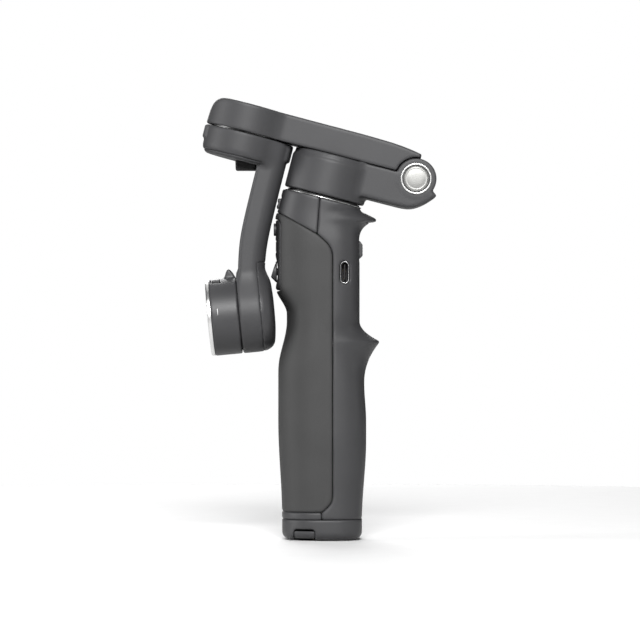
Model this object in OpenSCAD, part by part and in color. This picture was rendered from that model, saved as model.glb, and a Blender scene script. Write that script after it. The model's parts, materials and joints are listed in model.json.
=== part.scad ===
// Folding three-axis phone gimbal: handle, pan arm, folding arm, tilt arm and roll clamp,
// drawn folded for storage. Millimetres, +Z up the handle, +X towards the trigger side,
// origin at the centre of the tripod socket on the base.

/* [Handle] */
// Widest depth of the grip, from thumb side to finger side
grip_depth = 35.8; // [34:0.2:38]
// Widest width of the grip, from side to side
grip_width = 35; // [34:0.5:36]
// Wall thickness of the handle shells
wall = 2; // [1.8:0.1:2.4]
// Height of the base cap
base_h = 8.4; // [8:0.1:9]
// Height of the rear band above the base cap
band_h = 3; // [2.5:0.1:3.5]
// Radius of the rounded bottom edge
base_round = 3.2; // [2.5:0.1:4]
// Height of the lower finger lip's tip
lower_lip_z = 80.7; // [79:0.1:82]
// Forward reach of the lower finger lip
lower_lip_x = 24; // [22:0.1:25]
// Height of the upper finger lip's tip
upper_lip_z = 130.9; // [130:0.1:132]
// Forward reach of the upper finger lip
upper_lip_x = 22.2; // [21:0.1:23]
// Forward face between the two lips
recess_x = 15.4; // [15:0.1:15.8]

/* [Head] */
// Lean of the pan axis from vertical, degrees
head_tilt = 14.4; // [14:0.1:15]
// Height at which the pan axis crosses the top of the handle
neck_z = 140; // [139.5:0.1:140.5]
// Forward offset of the pan axis at that height
neck_x = 0.8; // [0.5:0.1:1]
// Outer radius of the pan and tilt motor housings
motor_r = 16.7; // [16.4:0.1:16.8]
// Running gap between bodies that turn against each other
run_gap = 0.4; // [0.35:0.05:0.5]

/* [Arms] */
// Width of the pan arm and the folding arm
arm_w = 22; // [20:0.5:23]
// Distance from pan axis to fold hinge
hinge_u = 34.6; // [34:0.1:35]
// Height of the fold hinge above the neck plane
hinge_v = 16.1; // [15.8:0.1:16.4]
// Radius of the hinge ears
ear_r = 8.3; // [8.2:0.1:8.7]
// Width of the hinge knuckle between the ears
knuckle_w = 9.2; // [8.6:0.1:9.4]
// Radius of the hinge pin
pin_r = 2.5; // [2:0.1:3]
// Top of the pan arm
pan_top = 17; // [16.8:0.1:17]
// Top of the folding arm above the tilt motor
arm_top = 28.8; // [28.6:0.1:29.4]
// Distance from pan axis to tilt axis
tilt_u = -37.7; // [-38.2:0.1:-37.4]

/* [Roll motor] */
// Outer radius of the roll motor
roll_r = 15.7; // [15.5:0.1:15.9]
// Forward position of the middle of the roll motor
roll_x = -33.7; // [-34:0.1:-33.5]
// Height of the middle of the roll motor
roll_z = 91.5; // [91:0.1:92]
// Droop of the roll axis, degrees
roll_droop = 5.3; // [5:0.1:6]

/* [Motor works] */
// Radius of the motor shafts
shaft_r = 1.45; // [1.2:0.05:1.45]
// Radial clearance of shafts and pins in their bearings
fit = 0.05; // [0.03:0.01:0.08]
// Outer radius of the small ball bearings
bearing_r = 3.5; // [3.3:0.1:3.6]
// Outer radius of the stator laminations
core_r = 10.4; // [10:0.1:10.4]
// Number of stator teeth
teeth = 9; // [6:3:9]
// Number of rotor magnets
magnets = 12; // [8:2:14]

/* [Hidden] */
$fn = 96;
CUT = 40;
BIG = 120;
half_d = grip_depth / 2;
half_w = grip_width / 2;
mid_x = -1;
hook_r = 6.9;
hook_z = upper_lip_z - hook_r - 0.8;
rear_power = 2.3;
front_power = 3.4;
ring_sides = 26;
band_top = base_h + band_h;
seam_x = 4.3;
cup_wall = 1.8;
plate_top = pan_top - 1.5;
base_disc = 1;
bell_r = 13.2;
bell_lift = 2.2;
bell_top = 12;
bell_plate = 1.1;
fold_floor = 17.3 - 0.4 + run_gap;
tilt_top = fold_floor - run_gap;
tilt_base = arm_top - 1.5;
tilt_floor = 8.4;
cover_v = arm_top - 2;
roll_half = run_gap / 2;
roll_depth = 9.8;
roll_face = 11.3;
stick_z = 109.2;
stick_pivot_x = -13.2;
mode_z = 126.5;
power_z = 137.1;
trigger_z = 118.2;
zoom_z = 110;
port_x = 9.2;
port_z = 108.8;

// ---- shared shapes --------------------------------------------------------------------------

function smooth(a, b, t) = let (k = max(0, min(1, (t - a) / (b - a)))) k * k * (3 - 2 * k);
function spow(v, p) = sign(v) * pow(abs(v), p);

// How far the rounded bottom edge draws the outline in
function base_inset(z) =
  z < base_round ? base_round - sqrt(pow(base_round, 2) - pow(base_round - z, 2)) : 0;

// Thumb side of the handle: slight taper, waist for the folded motor, swell for the controls
function rear_x(z) = base_inset(z)
  + (z > 131 ? -19.2 + 0.27 * (z - 131)
     : -(half_d - 1.6 + 1.6 * smooth(8, 48, z)) + 3.5 * smooth(69, 89, z) - 4.8 * smooth(92, 103.5, z));

// Finger side of the handle with its two lips
function front_x(z) = -base_inset(z)
  + (z < 64 ? half_d - 1.5 + 1.7 * smooth(8, 40, z) - 0.8 * smooth(48, 64, z)
     : z <= lower_lip_z ? half_d - 0.6
       + (lower_lip_x - half_d + 0.6) * pow((z - 64) / (lower_lip_z - 64), 2.1)
     : z < lower_lip_z + 8.3 ? recess_x - 0.1
       + (lower_lip_x - recess_x + 0.1) * pow(1 - (z - lower_lip_z) / 8.3, 2)
     : z < hook_z ? recess_x
     : z <= upper_lip_z ? upper_lip_x - sqrt(max(0, pow(hook_r, 2) - pow(z - hook_z, 2)))
     : max(15.9, upper_lip_x - 2.03 * (z - upper_lip_z)));

function half_y(z) = half_w - 0.9 + 0.9 * smooth(8, 48, z) - 0.4 * smooth(70, 90, z)
  - 0.8 * smooth(118, 136, z) - base_inset(z);

function ring(z) = [for (i = [0 : ring_sides - 1])
  let (a = (i + 0.5) * 360 / ring_sides, c = cos(a), s = sin(a), p = c < 0 ? rear_power : front_power)
  [mid_x + (c < 0 ? mid_x - rear_x(z) : front_x(z) - mid_x) * spow(c, 2 / p), half_y(z) * spow(s, 2 / p), z]];

ring_z = concat(
  [for (i = [0 : 3]) base_round * (1 - cos(i * 30))],
  [8, 16, 26, 38, 50, 60], [for (i = [0 : 6]) 66 + i * 2.45],
  [for (i = [1 : 4]) lower_lip_z + i * 2.1], [92, 95, 98, 101, 104, 114, hook_z],
  [for (a = [30, 55, 75, 90]) hook_z + hook_r * sin(a)],
  [upper_lip_z, upper_lip_z + 1.6, 134, 139, 146]);

module handle_solid() {
  points = [for (z = ring_z) each ring(z)];
  last = len(ring_z) - 1;
  n = ring_sides;
  polyhedron(points, concat(
    [[for (i = [0 : n - 1]) i]],
    [[for (i = [n - 1 : -1 : 0]) last * n + i]],
    [for (k = [0 : last - 1], i = [0 : n - 1])
      [k * n + i, (k + 1) * n + i, (k + 1) * n + (i + 1) % n]],
    [for (k = [0 : last - 1], i = [0 : n - 1])
      [k * n + i, (k + 1) * n + (i + 1) % n, k * n + (i + 1) % n]]));
}

// Upright outline in X and Z, extruded evenly to both sides
module side_plate(half) {
  rotate([90, 0, 0]) linear_extrude(2 * half, center = true) children();
}

// Rectangle with round corners, rear and front radii set apart
module round_rect(x0, x1, half, r0, r1) {
  intersection() {
    translate([x0, -half]) square([x1 - x0, 2 * half]);
    union() {
      translate([x0 + r0, -half]) square([x1 - r1 - x0 - r0, 2 * half]);
      translate([x0, r0 - half]) square([r0 + 1, 2 * (half - r0)]);
      translate([x1 - r1 - 1, r1 - half]) square([r1 + 1, 2 * (half - r1)]);
      for (s = [-1, 1]) {
        translate([x0 + r0, s * (half - r0)]) circle(r0);
        translate([x1 - r1, s * (half - r1)]) circle(r1);
      }
    }
  }
}

// Box from one corner to the other
module block(a, b) {
  translate(a) cube(b - a);
}

// Frame on the pan axis: local x towards the hinge, local z along the axis
module head() {
  translate([neck_x, 0, neck_z]) rotate([0, head_tilt, 0]) children();
}

// Frame on the roll axis: local z outwards, local x up
module roll_frame() {
  translate([roll_x, 0, roll_z]) rotate([0, -90 - roll_droop, 0]) children();
}

module tilt_frame() {
  head() translate([tilt_u, 0, tilt_base]) rotate([180, 0, 0]) children();
}

module roll_motor_frame() {
  roll_frame() translate([0, 0, -roll_depth]) children();
}

// Room inside the handle shells, and the half space under the neck plane
module handle_room() {
  low = half_d - wall - 1.7;
  high = recess_x - wall - 0.6;
  translate([0, 0, base_h]) linear_extrude(74 - base_h) round_rect(-low, low, half_w - wall - 0.7, 13, 12);
  translate([0, 0, 73.9]) linear_extrude(80)
    round_rect(0.4 - high, high, half_w - wall - 1.2, 12.3, 9);
}

module below_neck() {
  head() block([-BIG, -BIG, -2 * BIG], [BIG, BIG, -1.1]);
}

// ---- handle ---------------------------------------------------------------------------------

module front_outline() {
  polygon([[-0.2, base_h], [-0.2, band_top], [1.2, 12.4], [seam_x, 15.7], [seam_x, 115], [3.6, 118.4],
           [1.7, 121.2], [-2, 124.4], [-0.8, 139.8], [-0.6, 160], [CUT, 160], [CUT, base_h]]);
}

module neck_outline() {
  polygon([[-2, 124.4], [-0.8, 139.8], [-0.6, 160], [-CUT, 160], [-CUT, 146], [-17.4, 133.1]]);
}

module shell() {
  difference() {
    intersection() {
      handle_solid();
      side_plate(CUT) children();
      below_neck();
    }
    handle_room();
  }
}

module strap_pocket() {
  block([-11.4, -20, -1], [-2.8, -7, 4.5]);
}

module screw_places() {
  for (p = [[9.5, 7], [9.5, -7], [-9.5, 8]]) translate(p) children();
}

module base_cap() {
  color("#46474a") difference() {
    intersection() {
      handle_solid();
      block([-CUT, -CUT, -1], [CUT, CUT, base_h]);
    }
    translate([0, 0, -1]) cylinder(h = 12, r = 5.5);
    strap_pocket();
    screw_places() {
      translate([0, 0, -1]) cylinder(h = 12, r = 1.1);
      translate([0, 0, -1]) cylinder(h = 2.6, r = 2);
    }
    translate([0, 0, 6]) linear_extrude(6) difference() {
      round_rect(-13.2, 13.2, 13.8, 12, 11);
      circle(7);
      screw_places() circle(3);
    }
  }
}

module tripod_insert() {
  color("#b8a468") difference() {
    union() {
      cylinder(h = 10.4, r = 5.5);
      translate([0, 0, base_h]) cylinder(h = 1.6, r = 6.6);
    }
    translate([0, 0, -1]) cylinder(h = 10.1, r = 2.6);
  }
}

module base_screws() {
  color("silver") screw_places() {
    translate([0, 0, 0.4]) cylinder(h = 1.2, r = 2);
    translate([0, 0, 1.6]) cylinder(h = base_h - 1.6, r = 1.1);
  }
}

module strap_bar() {
  color("silver") translate([-11.4, -12.2, 1.9]) rotate([0, 90, 0]) cylinder(h = 8.6, r = 0.8);
}

module base_band() {
  color("#4c4d50") shell() polygon([[-0.2, base_h], [-0.2, band_top], [-CUT, band_top], [-CUT, base_h]]);
}

module bezel_block(grow = 0) {
  translate([-CUT, 0, 101.5 - grow]) rotate([90, 0, 90]) linear_extrude(CUT - 16.6 + grow)
    translate([-9 - grow, 0]) square([18 + 2 * grow, 29 + 2 * grow]);
}

module rear_grip() {
  color("#545353") difference() {
    shell() polygon([[-0.2, band_top], [1.2, 12.4], [seam_x, 15.7], [seam_x, 115], [3.6, 118.4],
                     [1.7, 121.2], [-2, 124.4], [-17.4, 133.1], [-CUT, 146], [-CUT, band_top]]);
    bezel_block();
    block([-17, -7.5, 103], [-12, 7.5, 130]);
  }
}

module front_shell() {
  color("#4f5053") difference() {
    shell() front_outline();
    block([10, -5.3, trigger_z - 4.1], [CUT, 5.3, trigger_z + 4.1]);
    translate([port_x, 0, port_z]) block([-1.9, -CUT, -4.6], [1.9, -8, 4.6]);
    block([port_x - 1.9, 10, zoom_z - 8.4], [port_x + 1.9, CUT, zoom_z + 8.4]);
    block([port_x - 3.2, 8, zoom_z - 9], [port_x + 3.2, 13.6, zoom_z + 9]);
  }
}

module neck_cover() {
  color("#545353") difference() {
    shell() neck_outline();
    block([-CUT, -3.8, power_z - 2.6], [-10, 3.8, power_z + 2.6]);
  }
}

module neck_ring() {
  color("silver") head() translate([0, 0, -1.1]) difference() {
    cylinder(h = 0.4, r = 15.9);
    translate([0, 0, -1]) cylinder(h = 3, r = 15);
  }
}

module control_bezel() {
  color("#3a3b3e") difference() {
    intersection() {
      handle_solid();
      bezel_block();
    }
    translate([-CUT, 0, stick_z]) rotate([0, 90, 0]) cylinder(h = CUT - 17.3, r = 6.6);
    translate([-CUT, 0, stick_z]) rotate([0, 90, 0]) cylinder(h = CUT, r = 3.4);
    translate([-CUT, 0, mode_z]) rotate([0, 90, 0]) cylinder(h = CUT, r = 2.9);
    block([-CUT, -3.6, 117.4], [-18.2, 3.6, 121.6]);
  }
}

module status_window() {
  color("#202226") block([-18.9, -3.6, 117.4], [-18.2, 3.6, 121.6]);
}

module chassis() {
  color("#707275") difference() {
    union() {
      block([7.6, -11, 12.2], [9.2, 11, 82.4]);
      block([-11, -9, 12.2], [7.6, 9, 13.4]);
      block([-10, -9, 81], [7.6, 9, 82.4]);
    }
    for (y = [-2, 2]) translate([-3, y, 80]) cylinder(h = 4, r = 0.9);
    for (z = [24, 47, 70]) translate([7, 0, z]) rotate([0, 90, 0]) cylinder(h = 4, r = 4);
  }
}

module battery_cell() {
  color("#3f7f5a") translate([-2.6, 0, 13.6]) cylinder(h = 65, r = 9.1);
}

module battery_leads() {
  color("#a03030") for (y = [-2, 2]) translate([-3, y, 78.6]) cylinder(h = 6.2, r = 0.6);
}

module main_board() {
  color("#1f5c3a") difference() {
    block([-8, -9.6, 84.4], [9.5, -8, 128]);
    for (z = [87.5, 125]) translate([-5, -10, z]) rotate([-90, 0, 0]) cylinder(h = 4, r = 1.1);
  }
}

module control_board() {
  color("#1f5c3a") block([-11.6, -6, 100], [-10.4, 6, 129]);
}

module upright_slot(half, r) {
  for (s = [-1, 1]) translate([0, s * (half - r)]) circle(r);
  translate([-r, r - half]) square([2 * r, 2 * (half - r)]);
}

module usb_port_shell() {
  color("silver") translate([port_x, -9.6, port_z]) rotate([90, 0, 0]) difference() {
    linear_extrude(7) upright_slot(4.55, 1.85);
    translate([0, 0, 0.8]) linear_extrude(9) upright_slot(4.1, 1.35);
  }
}

module usb_tongue() {
  color("#17181a") block([port_x - 0.35, -15.6, port_z - 3.2], [port_x + 0.35, -10.4, port_z + 3.2]);
}

module trigger_switch() {
  color("#26282b") block([6.4, -8, trigger_z - 3], [8, 3, trigger_z + 3]);
}

module joystick_base() {
  color("#2a2b2e") translate([-15.4, 0, stick_z]) rotate([0, 90, 0]) difference() {
    cylinder(h = 3.2, r = 5.6);
    translate([0, 0, -1]) cylinder(h = 9, r = 3.5);
  }
}

// ---- controls that move ---------------------------------------------------------------------

module trigger() {
  color("#5a5b5e") union() {
    side_plate(5) polygon([[11.9, trigger_z - 3.8], [15.4, trigger_z - 3.8], [16.7, trigger_z - 2.4],
                           [16.7, trigger_z + 1.9], [15.4, trigger_z + 3.8], [11.9, trigger_z + 3.8]]);
    block([10.9, -6, trigger_z - 5.2], [11.9, 6, trigger_z + 5.2]);
  }
}

module trigger_spring() {
  color("silver") translate([8, 0, trigger_z]) rotate([0, 90, 0]) difference() {
    cylinder(h = 2.9, r = 1.8);
    translate([0, 0, -1]) cylinder(h = 5, r = 1.3);
  }
}

module joystick_yoke() {
  color("#8a8c8f") translate([stick_pivot_x - 0.8, 0, stick_z]) rotate([0, 90, 0]) difference() {
    cylinder(h = 1.6, r = 3);
    translate([0, 0, -1]) cylinder(h = 4, r = 2);
  }
}

module joystick_cap() {
  color("#3d3e41") translate([-18.6, 0, stick_z]) rotate([0, -90, 0]) {
    cylinder(h = 1.2, r1 = 2.8, r2 = 4.5);
    translate([0, 0, 1.2]) cylinder(h = 1.3, r1 = 4.5, r2 = 2.6);
    translate([0, 0, -6.2]) cylinder(h = 6.2, r = 1.4);
  }
}

module mode_button() {
  color("#3d3e41") translate([-19.8, 0, mode_z]) rotate([0, 90, 0]) {
    cylinder(h = 5.6, r = 2.6);
    translate([0, 0, 5.6]) cylinder(h = 1, r = 1.5);
  }
}

module power_button() {
  color("#303134") side_plate(3.4) polygon([[-12.2, power_z - 2.2], [-12.2, power_z + 2.2],
    [-17.5, power_z + 2.2], [-18.1, power_z - 0.7], [-18.1, power_z - 2.2]]);
}

module zoom_slider() {
  color("#3d3e41") union() {
    block([port_x - 1.6, 12.6, zoom_z - 4.6], [port_x + 1.6, 17.4, zoom_z + 4.6]);
    block([port_x - 2.8, 11.4, zoom_z - 5.2], [port_x + 2.8, 12.6, zoom_z + 5.2]);
  }
}

// ---- motor works, in a frame whose z runs from stator to rotor ---------------------------------

module motor_base(r) {
  color("#2c2d30") union() {
    cylinder(h = base_disc, r = r);
    difference() {
      translate([0, 0, base_disc]) cylinder(h = 10.6, r = bearing_r + 0.7);
      translate([0, 0, base_disc + 0.4]) cylinder(h = 12, r = bearing_r);
    }
  }
}

module stator_core() {
  color("#9a9ca0") translate([0, 0, 4]) difference() {
    union() {
      cylinder(h = 4.6, r = 6);
      for (i = [0 : teeth - 1]) rotate(i * 360 / teeth) translate([5, -1, 0]) cube([5, 2, 4.6]);
      difference() {
        cylinder(h = 4.6, r = core_r);
        translate([0, 0, -1]) cylinder(h = 8, r = core_r - 1);
        for (i = [0 : teeth - 1])
          rotate((i + 0.5) * 360 / teeth) translate([5, -0.6, -1]) cube([8, 1.2, 8]);
      }
    }
    translate([0, 0, -1]) cylinder(h = 8, r = bearing_r + 0.7);
  }
}

module windings() {
  color("#b5713c") for (i = [0 : teeth - 1]) rotate(i * 360 / teeth) difference() {
    translate([6.2, -1.8, 3.4]) cube([3, 3.6, 5.8]);
    translate([5, -1, 4]) cube([6, 2, 4.6]);
  }
}

module bearings() {
  color("silver") for (z = [base_disc + 0.4, 8.9]) translate([0, 0, z]) difference() {
    cylinder(h = 2.5, r = bearing_r);
    translate([0, 0, -1]) cylinder(h = 5, r = shaft_r + fit);
  }
}

module motor_rotor(spacer) {
  color("#8f9194") union() {
    difference() {
      translate([0, 0, bell_lift]) cylinder(h = bell_top - bell_lift, r = bell_r);
      translate([0, 0, -1]) cylinder(h = bell_top + 1, r = bell_r - 1.3);
    }
    translate([0, 0, bell_top]) cylinder(h = bell_plate, r = bell_r);
    translate([0, 0, bell_top]) cylinder(h = bell_plate + spacer, r = 5);
    translate([0, 0, base_disc + 0.7]) cylinder(h = bell_top, r = shaft_r);
  }
}

module rotor_magnets() {
  color("#55585e") for (i = [0 : magnets - 1]) rotate(i * 360 / magnets)
    translate([0, 0, 3.2]) rotate_extrude(angle = 312 / magnets)
      translate([core_r + 0.35, 0]) square([bell_r - 1.3 - core_r - 0.35, 6.6]);
}

module pan_frame() {
  head() translate([0, 0, -1.1]) children();
}

module pan_motor_base() {
  pan_frame() {
    motor_base(15);
    color("#2c2d30") translate([0, 0, -4]) cylinder(h = 4, r = 10.8);
  }
}
module pan_stator_core() { pan_frame() stator_core(); }
module pan_windings() { pan_frame() windings(); }
module pan_bearings() { pan_frame() bearings(); }
module pan_rotor() { pan_frame() motor_rotor(plate_top + 1.1 - bell_top - bell_plate); }
module pan_magnets() { pan_frame() rotor_magnets(); }

module tilt_motor_base() { tilt_frame() motor_base(14.4); }
module tilt_stator_core() { tilt_frame() stator_core(); }
module tilt_windings() { tilt_frame() windings(); }
module tilt_bearings() { tilt_frame() bearings(); }
module tilt_rotor() { tilt_frame() motor_rotor(tilt_base - tilt_floor - bell_top - bell_plate); }
module tilt_magnets() { tilt_frame() rotor_magnets(); }

module roll_motor_base() { roll_motor_frame() motor_base(14.2); }
module roll_stator_core() { roll_motor_frame() stator_core(); }
module roll_windings() { roll_motor_frame() windings(); }
module roll_bearings() { roll_motor_frame() bearings(); }
module roll_rotor() {
  roll_motor_frame() {
    motor_rotor(2 * roll_depth - bell_top - bell_plate);
    rotor_magnets();
  }
}

// ---- pan arm --------------------------------------------------------------------------------

module at_hinge(y, h, r) {
  translate([hinge_u, y, hinge_v]) rotate([-90, 0, 0]) cylinder(h = h, r = r);
}

module pan_housing() {
  color("#5b5c5f") head() difference() {
    union() {
      translate([0, 0, run_gap - 0.15]) cylinder(h = pan_top - run_gap + 0.15, r = motor_r);
      side_plate(arm_w / 2) polygon([[0, 3.35], [33, 3.35], [36.8, 4.3], [40.8, 7.1], [44.6, 11.4],
                                     [42.4, 13], [hinge_u, hinge_v], [hinge_u, pan_top], [0, pan_top]]);
      at_hinge(-arm_w / 2, arm_w, ear_r);
    }
    translate([0, 0, -1]) cylinder(h = BIG, r = motor_r - cup_wall);
    translate([0, 0, plate_top]) cylinder(h = CUT, r = motor_r - 0.6);
    at_hinge(-knuckle_w / 2 - run_gap, knuckle_w + 2 * run_gap, ear_r + run_gap);
    at_hinge(-CUT, 2 * CUT, pin_r);
  }
}

module pan_cap() {
  color("#5b5c5f") head() translate([0, 0, plate_top]) cylinder(h = pan_top - plate_top, r = motor_r - 0.6);
}

module hinge_pin() {
  color("silver") head() at_hinge(-arm_w / 2, arm_w, pin_r);
}

module hinge_cap_rings() {
  color("silver") head() for (s = [0, 1]) mirror([0, s, 0]) difference() {
    at_hinge(-arm_w / 2 - 0.7, 0.7, 6.3);
    at_hinge(-arm_w, arm_w, 5.5);
  }
}

module hinge_caps() {
  color("#d8d6d2") head() for (s = [0, 1]) mirror([0, s, 0]) {
    at_hinge(-arm_w / 2 - 0.8, 0.8, 5.15);
    at_hinge(-arm_w / 2 - 1.3, 0.6, 4.2);
  }
}

// ---- folding arm ----------------------------------------------------------------------------

module fold_plan() {
  translate([tilt_u, 0]) circle(motor_r);
  translate([tilt_u, -arm_w / 2]) square([hinge_u - 0.2 - tilt_u, arm_w]);
}

module fold_profile() {
  polygon([[-60, fold_floor], [hinge_u - 0.2, fold_floor], [hinge_u - 0.2, 25.8], [32, 26.8], [27.7, 27.5],
           [23, 27.9], [11.5, arm_top - 0.5], [-48.5, arm_top], [-52, arm_top - 1.4], [-53.6, arm_top - 4.4],
           [-54.4, fold_floor], [-60, fold_floor]]);
}

module fold_body() {
  intersection() {
    linear_extrude(CUT) fold_plan();
    side_plate(CUT) fold_profile();
  }
}

module fold_arm() {
  color("#65666a") head() difference() {
    union() {
      difference() {
        fold_body();
        for (s = [0, 1]) mirror([0, s, 0]) at_hinge(knuckle_w / 2, CUT, ear_r + run_gap);
        block([-BIG, -CUT, cover_v], [24, CUT, BIG]);
      }
      at_hinge(-knuckle_w / 2, knuckle_w, ear_r - 0.3);
    }
    translate([tilt_u, 0, 0]) cylinder(h = CUT, r = motor_r - 1.7);
    block([-24, -7, 20], [21, 7, CUT]);
    at_hinge(-CUT, 2 * CUT, pin_r + fit);
  }
}

module fold_arm_cover() {
  color("#65666a") head() difference() {
    intersection() {
      fold_body();
      block([-BIG, -CUT, cover_v], [24, CUT, BIG]);
    }
    translate([tilt_u, 0, 0]) cylinder(h = tilt_base, r = motor_r - 1.7);
  }
}

module arm_flex_cable() {
  color("#c08a3a") head() block([-22, -3, 20], [21, 3, 20.3]);
}

// ---- tilt arm -------------------------------------------------------------------------------

// Flat on the outer side, round towards the handle
module d_section(outer, inner) {
  round_rect(outer, inner, 9.5, 2, 6);
}

module beam() {
  head() translate([0, 0, -27.5]) linear_extrude(tilt_top + 27.5) d_section(-29.7, -18.4);
  translate([0, 0, 104]) linear_extrude(19) d_section(-34.6, -23.9);
}

module tilt_arm() {
  color("#626366") difference() {
    union() {
      head() translate([tilt_u, 0, 0]) rotate_extrude() polygon([[0, 6.9], [motor_r - 1.6, 6.9],
        [motor_r - 1, 8.6], [motor_r - 0.9, 11], [motor_r, 11.6], [motor_r - 0.2, tilt_top], [0, tilt_top]]);
      beam();
      roll_frame() translate([0, 0, -roll_depth]) cylinder(h = roll_depth - roll_half, r = roll_r);
    }
    head() translate([tilt_u, 0, tilt_floor]) cylinder(h = CUT, r = motor_r - 1.7);
    roll_frame() translate([0, 0, -roll_depth]) cylinder(h = CUT, r = roll_r - 1.4);
    roll_frame() translate([0, 0, -CUT]) cylinder(h = CUT - roll_depth, r = roll_r);
  }
}

module tilt_cap() {
  color("#5a5b5e") difference() {
    head() translate([tilt_u, 0, 5.5]) cylinder(h = 1.4, r1 = motor_r - 3, r2 = motor_r - 1.6);
    beam();
  }
}

module storage_bumper() {
  color("#1d1e20") head() side_plate(5.5)
    polygon([[-39, 5.5], [-29.7, 5.5], [-29.7, 3.4], [-37.6, 1.4]]);
}

module roll_back_cover() {
  color("#3b3c3f") roll_frame() difference() {
    rotate_extrude() polygon(concat([[0, -roll_depth]],
      [for (a = [0 : 15 : 75]) [roll_r - 6.4 * (1 - cos(a)), -roll_depth - 3.7 * sin(a)]],
      [[6, -14.1], [0, -14.4]]));
    translate([0, 0, -12.3]) cylinder(h = 8, r = roll_r - 3.6);
  }
}

// ---- roll head and clamp ----------------------------------------------------------------------

module roll_housing() {
  color("#3f4043") roll_frame() difference() {
    union() {
      translate([0, 0, roll_half]) cylinder(h = roll_face - roll_half, r = roll_r);
      side_plate(3) polygon([[14.6, 0.7], [17.8, 0.7], [19.4, 2.8], [18.4, 3.6], [14.6, 5.2]]);
    }
    translate([0, 0, -1]) cylinder(h = roll_depth + 1, r = roll_r - 1.4);
    block([14.8, -2, 7], [CUT, 2, 10.4]);
  }
}

module clamp_ring() {
  color("silver") roll_frame() translate([0, 0, roll_face]) difference() {
    cylinder(h = 1.5, r = roll_r - 0.2);
    translate([0, 0, -1]) cylinder(h = 5, r = 13.2);
  }
}

module magnet_places() {
  for (s = [-1, 1], y = [-1, 1]) translate([s * 7, y * 8.4]) children();
}

module clamp_face() {
  color("#2f3033") roll_frame() translate([0, 0, roll_face]) difference() {
    cylinder(h = 1.3, r = 13.2);
    translate([0, 0, 0.5]) block([-CUT, -5.65, 0], [CUT, 5.65, 5]);
    magnet_places() translate([0, 0, -1]) cylinder(h = 5, r = 1.9);
  }
}

module clamp_magnets() {
  color("#8f9194") roll_frame() translate([0, 0, roll_face]) magnet_places() cylinder(h = 1.1, r = 1.9);
}

base_cap();
tripod_insert();
base_screws();
strap_bar();
base_band();
rear_grip();
front_shell();
neck_cover();
neck_ring();
control_bezel();
status_window();
chassis();
battery_cell();
battery_leads();
main_board();
control_board();
usb_port_shell();
usb_tongue();
trigger_switch();
joystick_base();
pan_motor_base();
pan_stator_core();
pan_windings();
pan_bearings();
trigger();
trigger_spring();
joystick_yoke();
joystick_cap();
mode_button();
power_button();
zoom_slider();
pan_housing();
pan_cap();
pan_rotor();
pan_magnets();
hinge_pin();
hinge_cap_rings();
hinge_caps();
fold_arm();
fold_arm_cover();
arm_flex_cable();
tilt_motor_base();
tilt_stator_core();
tilt_windings();
tilt_bearings();
tilt_arm();
tilt_cap();
storage_bumper();
tilt_rotor();
tilt_magnets();
roll_back_cover();
roll_motor_base();
roll_stator_core();
roll_windings();
roll_bearings();
roll_housing();
roll_rotor();
clamp_ring();
clamp_face();
clamp_magnets();
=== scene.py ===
"""Looks of a folding three-axis phone gimbal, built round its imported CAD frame.

Shapes are worked out in millimetres and placed in metres. Most moulded pieces are described by a signed
distance, negative inside, and meshed on a fine grid; turned pieces are profiles revolved round their axis.
"""
import json
import math

import bpy
import numpy as np
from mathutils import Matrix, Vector


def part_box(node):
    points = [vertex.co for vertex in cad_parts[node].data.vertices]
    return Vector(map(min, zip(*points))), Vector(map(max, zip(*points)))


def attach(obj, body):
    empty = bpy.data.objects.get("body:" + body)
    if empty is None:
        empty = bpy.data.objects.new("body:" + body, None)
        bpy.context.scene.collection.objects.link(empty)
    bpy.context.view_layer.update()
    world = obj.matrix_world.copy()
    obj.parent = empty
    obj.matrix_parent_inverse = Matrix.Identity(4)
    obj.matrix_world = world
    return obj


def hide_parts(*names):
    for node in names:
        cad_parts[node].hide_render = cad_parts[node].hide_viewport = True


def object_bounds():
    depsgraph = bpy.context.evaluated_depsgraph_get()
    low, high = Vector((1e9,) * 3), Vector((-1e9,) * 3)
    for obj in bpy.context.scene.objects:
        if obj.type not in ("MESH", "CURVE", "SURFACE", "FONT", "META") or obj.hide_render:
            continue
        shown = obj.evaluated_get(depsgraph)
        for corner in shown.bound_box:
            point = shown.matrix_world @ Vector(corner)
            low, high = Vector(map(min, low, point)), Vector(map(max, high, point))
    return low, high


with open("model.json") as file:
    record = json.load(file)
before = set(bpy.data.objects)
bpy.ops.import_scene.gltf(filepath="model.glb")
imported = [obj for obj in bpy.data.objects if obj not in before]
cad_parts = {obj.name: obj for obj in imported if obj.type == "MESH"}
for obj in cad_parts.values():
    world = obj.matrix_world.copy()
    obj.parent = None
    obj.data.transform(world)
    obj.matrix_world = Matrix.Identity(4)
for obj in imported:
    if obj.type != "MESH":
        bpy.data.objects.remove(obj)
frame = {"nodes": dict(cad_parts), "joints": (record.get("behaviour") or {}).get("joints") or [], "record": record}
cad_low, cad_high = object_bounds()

MM = 0.001


# ---- places and sizes that the frame gives, in millimetres ---------------------------------------

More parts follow.
